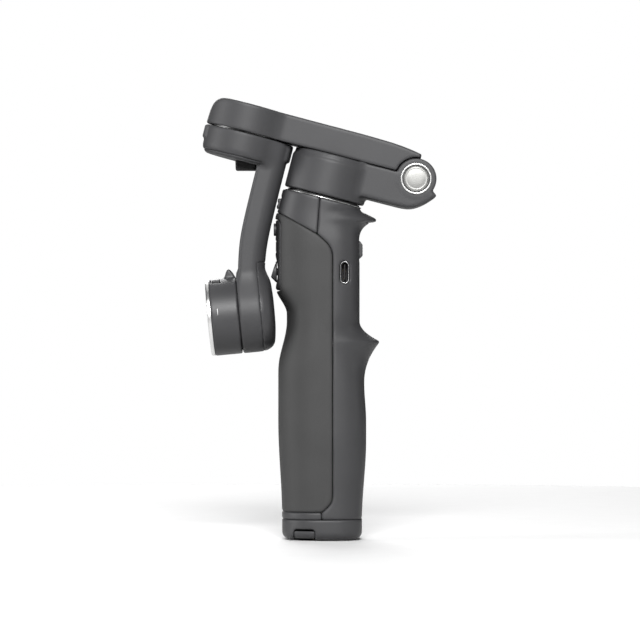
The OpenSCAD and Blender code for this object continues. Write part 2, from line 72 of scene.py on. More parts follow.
class Place:
    """A local frame: an origin and a z axis in the row frame; its x axis is y cross z."""

    def __init__(self, origin, z_axis):
        z = np.array(z_axis, float)
        z /= np.linalg.norm(z)
        across = np.array((0.0, 1.0, 0.0))
        if abs(z[1]) > 0.9:
            across = np.array((0.0, 0.0, 1.0))
        x = np.cross(across, z)
        self.origin = np.array(origin, float)
        self.axes = np.array((x, np.cross(z, x), z))

    def out(self, points):
        return self.origin + points @ self.axes

    def into(self, x, y, z):
        """Local coordinates of row-frame ones; open grids stay as small as they can."""
        steps = [v - o for v, o in zip((x, y, z), self.origin)]
        return [sum(s * a for s, a in zip(steps, axis) if abs(a) > 1e-9) for axis in self.axes]

    def shifted(self, x=0.0, y=0.0, z=0.0):
        moved = Place.__new__(Place)
        moved.origin = self.out(np.array((x, y, z), float))
        moved.axes = self.axes
        return moved


def edge(node, axis, high):
    """One side of a CAD node's box: axis 0 to 2, high 0 for the lowest side and 1 for the highest."""
    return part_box(node)[high][axis] / MM


joints = {j["name"]: j for j in frame["joints"]}


def joint_at(name):
    return np.array(joints[name]["pos_m"]) / MM


WORLD = Place((0, 0, 0), (0, 0, 1))
HEAD = Place(joint_at("pan"), joints["pan"]["axis"])
ROLL = Place(joint_at("roll"), joints["roll"]["axis"])
hinge_u, _, hinge_v = HEAD.axes @ (joint_at("fold") - HEAD.origin)
tilt_u = float(HEAD.axes[0] @ (joint_at("tilt") - HEAD.origin))

half_w = edge("front_shell", 1, 1)
lower_lip_x = edge("front_shell", 0, 1)
base_h = edge("base_cap", 2, 1)
band_top = edge("base_band", 2, 1)
motor_r = edge("pan_housing", 1, 1)
roll_r = edge("roll_housing", 1, 1)
half_arm = edge("hinge_pin", 1, 1)
half_knuckle = 4.6
ear_r = 8.3
run_gap = 0.4
arm_floor = 17.3
arm_top = 28.8
tilt_top = arm_floor - run_gap
trigger_z = (edge("trigger", 2, 0) + edge("trigger", 2, 1)) / 2
stick_pivot_x = joint_at("joystick_lift")[0]
stick_z = (edge("joystick_cap", 2, 0) + edge("joystick_cap", 2, 1)) / 2
mode_z = (edge("mode_button", 2, 0) + edge("mode_button", 2, 1)) / 2
power_z = (edge("power_button", 2, 0) + edge("power_button", 2, 1)) / 2
zoom_z = (edge("zoom_slider", 2, 0) + edge("zoom_slider", 2, 1)) / 2
port_x = (edge("usb_tongue", 0, 0) + edge("usb_tongue", 0, 1)) / 2
port_z = (edge("usb_tongue", 2, 0) + edge("usb_tongue", 2, 1)) / 2


# ---- signed distances ------------------------------------------------------------------------------

def both(a, b, r=0.0):
    """What lies in a and in b, with the edge between them rounded."""
    if r == 0:
        return np.maximum(a, b)
    corner = np.hypot(np.maximum(a + r, 0), np.maximum(b + r, 0))
    return np.minimum(np.maximum(a, b), -r) + corner


def join(a, b, r=0.0):
    """What lies in a or b, with a fillet between them."""
    return -both(-a, -b, r)


def cut(a, b, r=0.0):
    """What lies in a but not in b."""
    return both(a, -b, r)


def slab(t, low, high):
    return np.maximum(low - t, t - high)


def circle(x, y, r):
    return np.hypot(x, y) - r


def rounded_box(x, y, half_x, half_y, r):
    dx, dy = np.abs(x) - (half_x - r), np.abs(y) - (half_y - r)
    return np.hypot(np.maximum(dx, 0), np.maximum(dy, 0)) + np.minimum(np.maximum(dx, dy), 0) - r


def outline(x, y, points):
    """Distance to a closed outline."""
    nearest, inside = None, False
    for (ax, ay), (bx, by) in zip(points, points[1:] + points[:1]):
        ex, ey = bx - ax, by - ay
        wx, wy = x - ax, y - ay
        along = np.clip((wx * ex + wy * ey) / (ex * ex + ey * ey), 0, 1)
        gap = (wx - ex * along) ** 2 + (wy - ey * along) ** 2
        nearest = gap if nearest is None else np.minimum(nearest, gap)
        if ey != 0:
            inside = inside ^ (((ay <= y) != (by <= y)) & (wx < wy * ex / ey))
    return np.where(inside, -1, 1) * np.sqrt(nearest)


def rounded(points, closed=True, steps=6):
    """An outline whose corners with a third number are rounded, that far along each side at most."""
    found, n = [], len(points)
    for i, point in enumerate(points):
        here = np.array(point[:2], float)
        reach = point[2] if len(point) > 2 else 0
        if reach == 0 or not closed and i in (0, n - 1):
            found.append(tuple(here))
            continue
        before = np.array(points[i - 1][:2], float) - here
        after = np.array(points[(i + 1) % n][:2], float) - here
        start = here + before * min(0.5, reach / np.linalg.norm(before))
        end = here + after * min(0.5, reach / np.linalg.norm(after))
        for t in np.linspace(0, 1, steps + 1):
            found.append(tuple((1 - t) ** 2 * start + 2 * t * (1 - t) * here + t * t * end))
    return [p for i, p in enumerate(found) if i == 0 or math.dist(p, found[i - 1]) > 1e-6]


def smooth(a, b, t):
    k = np.clip((t - a) / (b - a), 0, 1)
    return k * k * (3 - 2 * k)


def soft_max(a, b, k):
    return (a + b + np.sqrt((a - b) ** 2 + k * k)) / 2


# ---- meshing ---------------------------------------------------------------------------------------

def ticks(low, high, step, wide=None):
    """Grid lines from low to high; wide is a stretch (from, to, step) that has longer steps."""
    if wide is None:
        return np.linspace(low, high, max(4, round((high - low) / step) + 1))
    start, end, longer = wide
    stretches = ticks(low, start, step), ticks(start, end, longer)[1:], ticks(end, high, step)[1:]
    return np.concatenate(stretches)


def soften(values):
    """One pass of a small blur along each axis, which rounds the finest edges."""
    for axis in range(3):
        values = np.moveaxis(values, axis, 0)
        blurred = values.copy()
        blurred[1:-1] = values[:-2] / 4 + values[1:-1] / 2 + values[2:] / 4
        values = np.moveaxis(blurred, 0, axis)
    return values


def moulded(field, xs, ys, zs, blur=1):
    """Closed quad mesh of field = 0: one point in each cell that the surface crosses."""
    grid = (xs, ys, zs)
    size = tuple(len(g) for g in grid)
    values = field(xs[:, None, None], ys[None, :, None], zs[None, None, :])
    values = np.broadcast_to(values, size).astype(np.float64)
    for _ in range(blur):
        values = soften(values)
    inside = values < 0
    stride = (size[1] * size[2], size[2], 1)
    cells, points, faces = [], [], []
    for axis in range(3):
        u, v = (axis + 1) % 3, (axis + 2) % 3
        count = size[axis] - 1
        near = inside.take(range(count), axis)
        far = inside.take(range(1, count + 1), axis)
        at = np.argwhere(near != far)
        at = at[(at[:, u] > 0) & (at[:, v] > 0)]
        beyond = at.copy()
        beyond[:, axis] += 1
        low, high = values[tuple(at.T)], values[tuple(beyond.T)]
        place = np.stack([grid[k][at[:, k]] for k in range(3)], 1)
        reach = grid[axis][beyond[:, axis]] - grid[axis][at[:, axis]]
        place[:, axis] += reach * low / (low - high)
        corner = at @ np.array(stride)
        ring = np.stack([corner - stride[u] - stride[v], corner - stride[v], corner, corner - stride[u]], 1)
        outward = inside[tuple(at.T)]
        faces.append(np.where(outward[:, None], ring, ring[:, ::-1]))
        cells.append(ring.T.reshape(-1))
        points.append(np.tile(place, (4, 1)))
    names, which = np.unique(np.concatenate(cells), return_inverse=True)
    points = np.concatenate(points)
    share = np.bincount(which)
    mean = np.stack([np.bincount(which, points[:, k]) / share for k in range(3)], 1)
    return mean, np.searchsorted(names, np.concatenate(faces)).tolist()


def turned(profile, count=96):
    """A profile of (radius, height) points revolved round z. Ends on the axis close in a pole, and a
    profile that stays off the axis closes on itself."""
    ring_angles = np.arange(count) * 2 * math.pi / count
    points, rings = [], []
    for radius, height in profile:
        first = len(points)
        if radius < 1e-6:
            points.append((0, 0, height))
            rings.append([first] * count)
            continue
        for a in ring_angles:
            points.append((radius * math.cos(a), radius * math.sin(a), height))
        rings.append(list(range(first, first + count)))
    pairs = list(zip(rings, rings[1:]))
    if profile[0][0] > 1e-6:
        pairs.append((rings[-1], rings[0]))
    faces = []
    for low, high in pairs:
        for i in range(count):
            j = (i + 1) % count
            face = list(dict.fromkeys((low[i], low[j], high[j], high[i])))
            if len(face) > 2:
                faces.append(face)
    return np.array(points, float), faces


def piece(name, body, slot, parts, replaced=(), weighted=True):
    """One object from meshes in their places: it rides on a body and stands for CAD nodes."""
    points, faces, first = [], [], 0
    for place, (local, found) in parts:
        points.append(place.out(local) * MM)
        faces += [[i + first for i in face] for face in found]
        first += len(local)
    mesh = bpy.data.meshes.new(name)
    mesh.from_pydata(np.concatenate(points).tolist(), [], faces)
    mesh.validate()
    mesh.shade_smooth()
    mesh.materials.append(MATERIALS[slot])
    obj = bpy.data.objects.new(name, mesh)
    bpy.context.scene.collection.objects.link(obj)
    if weighted:
        obj.modifiers.new("normals", "WEIGHTED_NORMAL").weight = 80
    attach(obj, body)
    if replaced:
        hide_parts(*replaced)
    return obj


def cast(name, body, slot, place, field, grid, own=True, blur=1, weighted=True):
    """One moulded piece; own says that it stands for the CAD node of the same name."""
    shape = moulded(field, *grid, blur)
    return piece(name, body, slot, [(place, shape)], [name] if own else (), weighted)


# ---- materials -------------------------------------------------------------------------------------

def shader(name, colour, roughness, metallic=0.0, coat=0.0):
    """A new material with its Principled node; numbers that never vary stay on its own sockets."""
    material = bpy.data.materials.new(name)
    material.use_nodes = True
    base = material.node_tree.nodes["Principled BSDF"]
    base.inputs["Base Color"].default_value = (*colour, 1)
    base.inputs["Roughness"].default_value = roughness
    base.inputs["Metallic"].default_value = metallic
    base.inputs["Coat Weight"].default_value = coat
    return material, base


def noise(material, size, detail=3.0, stretch=None):
    """Noise whose features are about size millimetres across, in the piece's own metres."""
    nodes, links = material.node_tree.nodes, material.node_tree.links
    place = nodes.new("ShaderNodeTexCoord").outputs["Object"]
    if stretch:
        mapping = nodes.new("ShaderNodeMapping")
        mapping.inputs["Scale"].default_value = stretch
        links.new(place, mapping.inputs["Vector"])
        place = mapping.outputs["Vector"]
    found = nodes.new("ShaderNodeTexNoise")
    found.inputs["Scale"].default_value = 1 / (size * MM)
    found.inputs["Detail"].default_value = detail
    links.new(place, found.inputs["Vector"])
    return found.outputs["Fac"]


def spread(material, factor, low, high):
    """A value that follows factor between low and high."""
    found = material.node_tree.nodes.new("ShaderNodeMapRange")
    found.inputs["From Min"].default_value = 0.3
    found.inputs["From Max"].default_value = 0.7
    found.inputs["To Min"].default_value = low
    found.inputs["To Max"].default_value = high
    material.node_tree.links.new(factor, found.inputs["Value"])
    return found.outputs["Result"]


def tint(material, factor, dark, light):
    """A colour that follows factor from dark to light."""
    ramp = material.node_tree.nodes.new("ShaderNodeValToRGB")
    ramp.color_ramp.elements[0].position = 0.3
    ramp.color_ramp.elements[0].color = (*dark, 1)
    ramp.color_ramp.elements[1].position = 0.7
    ramp.color_ramp.elements[1].color = (*light, 1)
    material.node_tree.links.new(factor, ramp.inputs["Fac"])
    return ramp.outputs["Color"]


def bump(material, base, height, depth):
    """Relief of depth millimetres where height runs from 0 to 1."""
    found = material.node_tree.nodes.new("ShaderNodeBump")
    found.inputs["Distance"].default_value = depth * MM
    found.inputs["Strength"].default_value = 1.0
    material.node_tree.links.new(height, found.inputs["Height"])
    material.node_tree.links.new(found.outputs["Normal"], base.inputs["Normal"])


def finish(name, colour, roughness, grain, depth, mottle=0.05, rough_spread=0.05, metallic=0.0,
           coat=0.0, stretch=None):
    """A surface with fine grain, and colour and gloss that drift slightly over some millimetres."""
    material, base = shader(name, colour, roughness, metallic, coat)
    links = material.node_tree.links
    drift = noise(material, 14.0, 4.0)
    dark = [c * (1 - mottle) for c in colour]
    light = [c * (1 + mottle) for c in colour]
    links.new(tint(material, drift, dark, light), base.inputs["Base Color"])
    fine = noise(material, grain, 2.0, stretch)
    low, high = roughness - rough_spread, roughness + rough_spread
    links.new(spread(material, fine, low, high), base.inputs["Roughness"])
    bump(material, base, fine, depth)
    return material


def grey(level, warm=0.0, cool=0.0):
    return (level * (1 + warm), level, level * (1 + cool))


MATERIALS = {
    "shell_plastic": finish("shell_plastic", grey(0.052, 0.0, 0.05), 0.50, 0.22, 0.010),
    "grip_rubber": finish("grip_rubber", grey(0.046, 0.0, 0.0), 0.62, 0.30, 0.022, 0.07),
    "control_plastic": finish("control_plastic", grey(0.036, 0.0, 0.05), 0.48, 0.20, 0.010),
    "arm_plastic": finish("arm_plastic", grey(0.058, 0.0, 0.05), 0.54, 0.20, 0.010),
    "roll_plastic": finish("roll_plastic", grey(0.056, 0.0, 0.05), 0.46, 0.18, 0.008),
    "black_plastic": finish("black_plastic", grey(0.016, 0.0, 0.06), 0.42, 0.20, 0.010),
    "black_rubber": finish("black_rubber", grey(0.012), 0.72, 0.35, 0.030),
    "dark_window": finish("dark_window", grey(0.006), 0.10, 3.0, 0.002, 0.04, 0.02, coat=0.6),
    "polished_metal": finish("polished_metal", grey(0.72, 0.0, -0.01), 0.36, 0.8, 0.002, 0.02, 0.04, 1.0),
    "pearl_metal": finish("pearl_metal", grey(0.36, 0.0, -0.03), 0.50, 0.12, 0.004, 0.03, 0.06, 1.0),
    "steel": finish("steel", grey(0.56, 0.0, 0.01), 0.28, 0.15, 0.003, 0.04, 0.06, 1.0),
    "brass": finish("brass", (0.66, 0.46, 0.20), 0.26, 0.20, 0.004, 0.06, 0.07, 1.0),
    "frame_metal": finish("frame_metal", grey(0.35), 0.45, 0.25, 0.010, 0.05, 0.06, 1.0),
    "lamination": finish("lamination", grey(0.30, 0.0, 0.03), 0.38, 0.30, 0.020, 0.08, 0.08, 1.0,
                         stretch=(1, 1, 4)),
    "magnet": finish("magnet", grey(0.42, 0.0, 0.03), 0.24, 0.40, 0.004, 0.08, 0.06, 1.0),
    "copper": finish("copper", (0.62, 0.27, 0.12), 0.30, 0.12, 0.030, 0.15, 0.08, 1.0),
    "circuit_board": finish("circuit_board", (0.012, 0.10, 0.04), 0.36, 0.50, 0.010, 0.25, 0.08, coat=0.4),
    "battery_wrap": finish("battery_wrap", (0.03, 0.19, 0.09), 0.34, 1.2, 0.012, 0.06, 0.06, coat=0.3),
    "lead_jacket": finish("lead_jacket", (0.33, 0.02, 0.02), 0.44, 0.4, 0.010),
    "flex_film": finish("flex_film", (0.48, 0.22, 0.05), 0.28, 1.5, 0.004, 0.12, 0.05, coat=0.5),
}


# ---- handle ----------------------------------------------------------------------------------------

half_d = 17.9
base_round = 3.2
lower_lip_z = 80.7
upper_lip_z = 130.9
upper_lip_x = 22.2
recess_x = 15.4
hook_r = 6.9
hook_z = upper_lip_z - hook_r - 1.3
mid_x = -1.0
rear_power, front_power, lip_power = 2.3, 3.4, 2.3
shell_wall = 1.8
neck_gap = 1.1


def base_inset(z):
    """How far the rounded bottom edge draws the outline in."""
    drop = np.clip(base_round - z, 0, base_round)
    return base_round - np.sqrt(base_round**2 - drop**2)


def rear_x(z):
    """Thumb side: a slight taper, a waist for the folded motor and a swell for the controls."""
    low = 3.5 * smooth(69, 89, z) - 4.8 * smooth(92, 103.5, z) - (half_d - 1.6 + 1.6 * smooth(8, 48, z))
    return base_inset(z) + np.where(z > 131, -19.2 + 0.27 * (z - 131), low)


def front_x(z):
    """Finger side with its two lips."""
    grip = half_d - 1.5 + 1.7 * smooth(8, 40, z) - 0.8 * smooth(48, 64, z)
    rise = (lower_lip_x - half_d + 0.6) * (np.clip(z - 64, 0, None) / (lower_lip_z - 64)) ** 2.1
    fall = recess_x + (lower_lip_x - recess_x) * np.clip(1 - (z - lower_lip_z) / 8.3, 0, None) ** 2
    low = -soft_max(-grip - rise, -fall, 0.5)
    hook = upper_lip_x - np.sqrt(np.maximum(0, hook_r**2 - (z - hook_z) ** 2))
    top = np.maximum(15.9, upper_lip_x - 2.03 * (z - upper_lip_z))
    high = np.where(z < hook_z, recess_x, np.where(z <= upper_lip_z, hook, top))
    return np.where(z < 100, low, high) - base_inset(z)


def half_y(z):
    """Half the width: fullest at the palm, slimmer at the base and the neck."""
    palm = half_w - 0.9 + 0.9 * smooth(8, 48, z) - 0.4 * smooth(70, 90, z)
    return palm - 0.8 * smooth(118, 136, z) - base_inset(z)


def lip_share(z):
    """1 at the finger lips, where the section narrows towards the front."""
    low = smooth(62, 78, z) * (1 - smooth(82, 95, z))
    return np.maximum(low, smooth(122, 130, z) * (1 - smooth(133, 138, z)))


def handle(x, y, z):
    """Distance to the handle's outside, near enough for rounding edges and walls."""
    def level(z):
        rear, front, half = rear_x(z), front_x(z), half_y(z)
        depth = np.where(x < mid_x, mid_x - rear, front - mid_x)
        power = np.where(x < mid_x, rear_power, front_power - (front_power - lip_power) * lip_share(z))
        a, b = np.abs((x - mid_x) / depth), np.abs(y / half)
        return (a**power + b**power) ** (1 / power), a, b, power, depth, half
    value, a, b, power, depth, half = level(z)
    step = 0.1
    up = (level(z + step)[0] - level(z - step)[0]) / (2 * step)
    m = np.maximum(value, 0.3)
    across = (a / m) ** (power - 1) / depth
    aside = (b / m) ** (power - 1) / half
    return both((value - 1) / np.sqrt(across**2 + aside**2 + up**2 + 1e-9), -z)


def handle_shell(x, y, z):
    body = handle(x, y, z)
    neck = HEAD.into(x, y, z)[2] + neck_gap
    return both(both(body, neck, 0.5), -(body + shell_wall))


FAR = 40.0  # past the handle on every side
SEAM = rounded([(-0.2, base_h), (-0.2, band_top), (1.2, 12.4, 0.8), (4.3, 15.7, 2.5), (4.3, 118.9, 4.2),
                (-2.0, 124.4)], closed=False)
NECK_SEAM = [(-2.0, 124.4), (-0.8, 139.8), (-0.6, 160)]
FRONT = SEAM + NECK_SEAM[1:] + [(FAR, 160), (FAR, base_h)]
REAR = SEAM[1:] + [(-17.4, 133.1), (-FAR, 146), (-FAR, band_top)]
NECK = NECK_SEAM + [(-FAR, 160), (-FAR, 146), (-17.4, 133.1)]
SCREWS = [(9.5, 7.0), (9.5, -7.0), (-9.5, 8.0)]
window_z = 116.0
window_half = (9.0, 14.5)
display_z = 119.5


def racetrack(a, b, half, r):
    """Upright slot in the (a, b) plane, round at both ends."""
    return np.hypot(a, np.maximum(np.abs(b) - (half - r), 0)) - r


def base_cap(x, y, z):
    body = both(handle(x, y, z), z - base_h, 0.12)
    body = cut(body, circle(x, y, 5.5), 0.3)
    pocket = both(rounded_box(x + 7.1, z, 4.3, 4.5, 1.4), slab(y, -FAR, -7.0))
    body = cut(body, pocket, 0.35)
    for sx, sy in SCREWS:
        body = cut(body, both(circle(x - sx, y - sy, 2.15), z - 1.6), 0.25)
    hollow = both(rounded_box(x, y, 13.0, 13.6, 11.0), 6.0 - z)
    hollow = cut(hollow, circle(x, y, 7.0))
    return cut(body, hollow)


def base_band(x, y, z):
    band = slab(z, base_h, band_top)
    return both(both(handle_shell(x, y, z), x + 0.2, 0.1), band, 0.12)


def front_shell(x, y, z):
    shell = both(handle_shell(x, y, z), outline(x, z, FRONT), 0.1)
    trigger_hole = both(rounded_box(y, z - trigger_z, 5.3, 4.1, 1.2), 10 - x)
    port = both(racetrack(x - port_x, z - port_z, 4.6, 1.9), y + 8)
    slot = both(racetrack(x - port_x, z - zoom_z, 8.4, 1.9), 10 - y)
    slot_rim = both(racetrack(x - port_x, z - zoom_z, 9.0, 2.5), 16.5 - y)
    shell = cut(cut(shell, trigger_hole, 0.5), port, 0.15)
    return cut(cut(shell, slot, 0.3), slot_rim, 0.3)


def rear_grip(x, y, z):
    shell = both(handle_shell(x, y, z), outline(x, z, REAR), 0.1)
    window = both(rounded_box(y, z - window_z, window_half[0], window_half[1], 3.2), x + 12)
    return cut(shell, window, 0.35)


def neck_cover(x, y, z):
    shell = both(handle_shell(x, y, z), outline(x, z, NECK), 0.1)
    return cut(shell, both(rounded_box(y, z - power_z, 3.8, 2.6, 1.1), x + 10), 0.3)


def control_bezel(x, y, z):
    body = handle(x, y, z) + 0.18
    plate = both(body, -(body + 2.5))
    half_y_in, half_z_in = window_half[0] - 0.15, window_half[1] - 0.15
    plate = both(plate, rounded_box(y, z - window_z, half_y_in, half_z_in, 3.0), 0.5)
    plate = cut(plate, both(circle(y, z - stick_z, 6.0), x + 17.1), 0.25)
    plate = cut(plate, circle(y, z - stick_z, 3.9), 0.2)
    plate = cut(plate, circle(y, z - mode_z, 2.95), 0.35)
    return cut(plate, both(rounded_box(y, z - display_z, 3.7, 2.2, 0.9), x + 18.2), 0.2)


def status_window(x, y, z):
    body = handle(x, y, z) + 0.3
    return both(both(body, -(body + 0.6)), rounded_box(y, z - display_z, 3.6, 2.1, 0.8), 0.15)


def build_handle():
    low_x, high_x = -22.0, 26.0
    plain = (17, 74, 1.3)
    parts = [
        ("base_cap", "shell_plastic", base_cap, low_x, 20, -1.5, 10, None),
        ("base_band", "shell_plastic", base_band, low_x, 2, 7, 13, None),
        ("front_shell", "shell_plastic", front_shell, -4, high_x, 7, 142, plain),
        ("rear_grip", "grip_rubber", rear_grip, low_x, 8, 10, 137, plain),
        ("neck_cover", "shell_plastic", neck_cover, low_x, 2, 121, 146, None),
        ("control_bezel", "control_plastic", control_bezel, low_x, -10, 99, 133, None),
    ]
    for name, slot, field, x0, x1, z0, z1, wide in parts:
        step = 0.5 if wide else 0.4
        grid = ticks(x0, x1, step), ticks(-19, 19, step), ticks(z0, z1, step, wide)
        cast(name, "handle", slot, WORLD, field, grid, weighted=False)
    grid = ticks(-20.5, -17, 0.15), ticks(-4.2, 4.2, 0.2), ticks(117, 122, 0.2)
    cast("status_window", "handle", "dark_window", WORLD, status_window, grid)


def build_base_fittings():
    thread_r, thread_depth, pitch, turns = 2.6, 0.48, 1.27, 7
    insert_r, flange_r, flange_h, insert_h = 5.45, 6.6, 1.6, 10.4
    body = [(3.3, 0.0), (5.2, 0.0), (insert_r, 0.25), (insert_r, base_h), (flange_r, base_h),
            (flange_r, base_h + flange_h), (insert_r, base_h + flange_h), (insert_r, insert_h),
            (3.1, insert_h), (3.1, insert_h - 0.5)]
    thread = []
    for i in reversed(range(turns)):
        z = 0.9 + i * pitch
        thread += [(thread_r + thread_depth, z + pitch / 2), (thread_r, z)]
    insert = turned(body + thread + [(thread_r + 0.1, 0.5)])
    piece("tripod_insert", "handle", "brass", [(WORLD, insert)], ["tripod_insert"])

    def screw(x, y, z):
        head = both(circle(x, y, 1.95), slab(z, 0.4, 1.6), 0.25)
        cross = join(rounded_box(x, y, 1.15, 0.24, 0.1), rounded_box(x, y, 0.24, 1.15, 0.1))
        head = cut(head, both(cross, z - 1.15), 0.05)
        return join(head, both(circle(x, y, 1.1), slab(z, 1.4, base_h)), 0.1)
    one = moulded(screw, ticks(-2.4, 2.4, 0.14), ticks(-2.4, 2.4, 0.14), ticks(-0.1, 9, 0.14))
    screws = [(WORLD.shifted(x, y), one) for x, y in SCREWS]
    piece("base_screws", "handle", "steel", screws, ["base_screws"])

    def strap_bar(x, y, z):
        outside = handle(x, y, z)
        skin = both(outside + 0.5, -(outside + 2.4), 0.3)
        return both(both(skin, rounded_box(x + 7.1, z - 2.3, 4.2, 1.5, 0.7), 0.2), y)
    grid = ticks(-12, -2, 0.2), ticks(-18, -8, 0.2), ticks(0.2, 4.4, 0.2)
    cast("strap_bar", "handle", "shell_plastic", WORLD, strap_bar, grid)


def build_neck_ring():
    ring = rounded([(15.0, 0, 0.12), (15.95, 0, 0.2), (15.95, 0.42, 0.2), (15.0, 0.42, 0.12)])
    under_motor = HEAD.shifted(z=-neck_gap)
    piece("neck_ring", "handle", "polished_metal", [(under_motor, turned(ring, 160))], ["neck_ring"])


def around_port(half_x, step_x, half_z, step_z):
    """Grid lines in x and z round the charging inlet."""
    across = ticks(port_x - half_x, port_x + half_x, step_x)
    return across, ticks(port_z - half_z, port_z + half_z, step_z)


def build_port():
    def inlet(x, z, inset):
        return racetrack(x - port_x, z - port_z, 4.5 - inset, 1.8 - inset)

    def port_shell(x, y, z):
        tube = both(inlet(x, z, 0), slab(y, -16.45, -9.6), 0.12)
        return cut(tube, both(inlet(x, z, 0.3), y + 10.4), 0.12)

    # Painted shade: a black plastic lining over the inside of the steel shell, so the inlet looks dark inside as
    # shade would make it
    def port_shade_lining(x, y, z):
        tube = both(inlet(x, z, 0.3), slab(y, -16.3, -10.4))
        return cut(tube, both(inlet(x, z, 0.6), y + 10.8))
    xs, zs = around_port(2.3, 0.14, 5, 0.14)
    grid = xs, ticks(-17.3, -9, 0.2), zs
    cast("usb_port_shell", "handle", "steel", WORLD, port_shell, grid, blur=0)
    # The black lining is painted shade inside the inlet
    cast("usb_port_shade_lining", "handle", "black_plastic", WORLD, port_shade_lining, grid, own=False, blur=0)

    def tongue(x, y, z):
        section = rounded_box(x - port_x, z - port_z, 0.36, 3.2, 0.15)
        return both(section, slab(y, -15.6, -10.4), 0.15)
    xs, zs = around_port(0.7, 0.1, 3.6, 0.16)
    cast("usb_tongue", "handle", "black_plastic", WORLD, tongue, (xs, ticks(-16, -10, 0.2), zs))

    def contact(x, y, z):
        return both(both(np.abs(x) - 0.05, slab(y, 0, 3.6), 0.02), np.abs(z) - 0.11, 0.02)
    grid = ticks(-0.12, 0.12, 0.03), ticks(-0.15, 3.75, 0.15), ticks(-0.17, 0.17, 0.03)
    pad = moulded(contact, *grid, 0)
    rows, pitch, side_x, front_y = 12, 0.5, 0.37, -15.2
    contacts = []
    for i in range(rows):
        z = port_z + (i - (rows - 1) / 2) * pitch
        for side in (-1, 1):
            contacts.append((WORLD.shifted(port_x + side * side_x, front_y, z), pad))
    piece("usb_contacts", "handle", "brass", contacts)


# ---- controls --------------------------------------------------------------------------------------

def build_trigger():
    def trigger(x, y, z):
        t = z - trigger_z
        lines = 0.1 * np.cos(t * 5.2) * (np.abs(t) < 1.7)
        key = both(rounded_box(y, t, 5.0, 3.75, 1.1), slab(x, 11.9, FAR))
        side = [(10, -3.8), (15.3, -3.8), (16.7, -2.4), (16.7, 1.9), (15.3, 3.8), (10, 3.8)]
        key = both(both(key, outline(x, t, side), 0.3), x - 16.65 + lines, 0.15)
        flange = both(rounded_box(y, t, 6.0, 5.2, 0.6), slab(x, 10.9, 11.95), 0.2)
        return join(key, flange, 0.2)
    zs = ticks(trigger_z - 5.8, trigger_z + 5.8, 0.2)
    grid = ticks(10.3, 17.6, 0.2), ticks(-6.6, 6.6, 0.25), zs
    cast("trigger", "trigger", "shell_plastic", WORLD, trigger, grid)


def build_joystick():
    cap_r, cap_back, peak_x, peak_z = 4.6, -18.45, -20.9, -2.2
    slope, ridge_pitch = 0.313, 1.15
    stem_r, ball_r = 1.4, 4.95

    def stick(x, y, z):
        """A wedge that peaks below its middle, on a ball that fills the hole at every angle."""
        t = z - stick_z
        top = (peak_x + slope * (t - peak_z) - x) * math.cos(math.atan(slope))
        chin = (peak_x - x - t + peak_z) * math.sqrt(0.5)
        cap = both(circle(y, t, cap_r), both(np.maximum(top, chin), x - cap_back, 0.3), 0.25)
        for i in range(-3, 4):
            groove = both(circle(top, t - i * ridge_pitch, 0.2), np.abs(y) - 3.4)
            cap = cut(cap, groove, 0.08)
        ball = np.sqrt((x - stick_pivot_x) ** 2 + y**2 + t**2) - ball_r
        skirt = both(both(ball, -(ball + 1.0)), x + 16.6, 0.1)
        stem = both(circle(y, t, stem_r), slab(x, -18.5, -12.4), 0.2)
        return join(join(cap, skirt, 0.1), stem, 0.3)
    grid = ticks(-21.6, -12, 0.2), ticks(-5, 5, 0.2), ticks(stick_z - 5, stick_z + 5, 0.2)
    cast("joystick_cap", "joystick", "control_plastic", WORLD, stick, grid)


def build_buttons():
    button_h = 5.6
    button = rounded([(0, -1.0), (1.5, -1.0, 0.1), (1.5, 0, 0.1), (2.6, 0, 0.1), (2.6, button_h, 0.45),
                      (1.9, 5.5, 0.4), (0, 5.3)], closed=False)
    foot = Place((edge("mode_button", 0, 0) + button_h, 0, mode_z), (-1, 0, 0))
    piece("mode_button", "mode_button", "control_plastic", [(foot, turned(button, 64))], ["mode_button"])

    def power(x, y, z):
        t = z - power_z
        key = both(rounded_box(y, t, 3.4, 2.2, 0.9), x + 12.2)
        side = [(-12.2, -2.2), (-12.2, 2.2), (-17.9, 2.2), (-18.5, -0.7), (-18.5, -2.2)]
        key = both(key, outline(x, t, side), 0.35)
        return cut(key, circle(x + 19.0 - 0.2 * t, t, 1.05), 0.2)
    grid = ticks(-19.1, -11.6, 0.2), ticks(-4, 4, 0.2), ticks(power_z - 2.8, power_z + 2.8, 0.2)
    cast("power_button", "power_button", "control_plastic", WORLD, power, grid)


def build_zoom_slider():
    def slider(x, y, z):
        a, t = x - port_x, z - zoom_z
        ribs = 0.16 * np.cos(t * 2 * math.pi / 1.15) * (np.abs(t) < 3.6)
        top = 17.1 + ribs + 0.008 * t * t
        key = both(racetrack(a, t, 4.6, 1.6), slab(y, 12.4, top), 0.3)
        flange = both(rounded_box(a, t, 2.8, 5.2, 0.5), slab(y, 11.4, 12.6), 0.15)
        return join(key, flange, 0.15)
    xs = ticks(port_x - 3.3, port_x + 3.3, 0.18)
    grid = xs, ticks(11, 18, 0.18), ticks(zoom_z - 5.7, zoom_z + 5.7, 0.18)
    cast("zoom_slider", "zoom_slider", "control_plastic", WORLD, slider, grid)


# ---- pan arm ---------------------------------------------------------------------------------------

shoulder = 0.55
CUP = rounded([(0, 0.25), (motor_r, 0.25, 0.45), (motor_r, 14.3, 0.2), (motor_r - shoulder, 15.1, 0.2),
               (motor_r - shoulder, 17.0, 0.3), (0, 17.0)])
PAN_ARM = rounded([(0, 3.35), (33, 3.35, 3), (36.8, 4.3, 3), (40.8, 7.1, 3), (44.6, 11.4, 0.5),
                   (42.4, 13, 0.5), (hinge_u, hinge_v), (hinge_u, 22), (0, 22)])


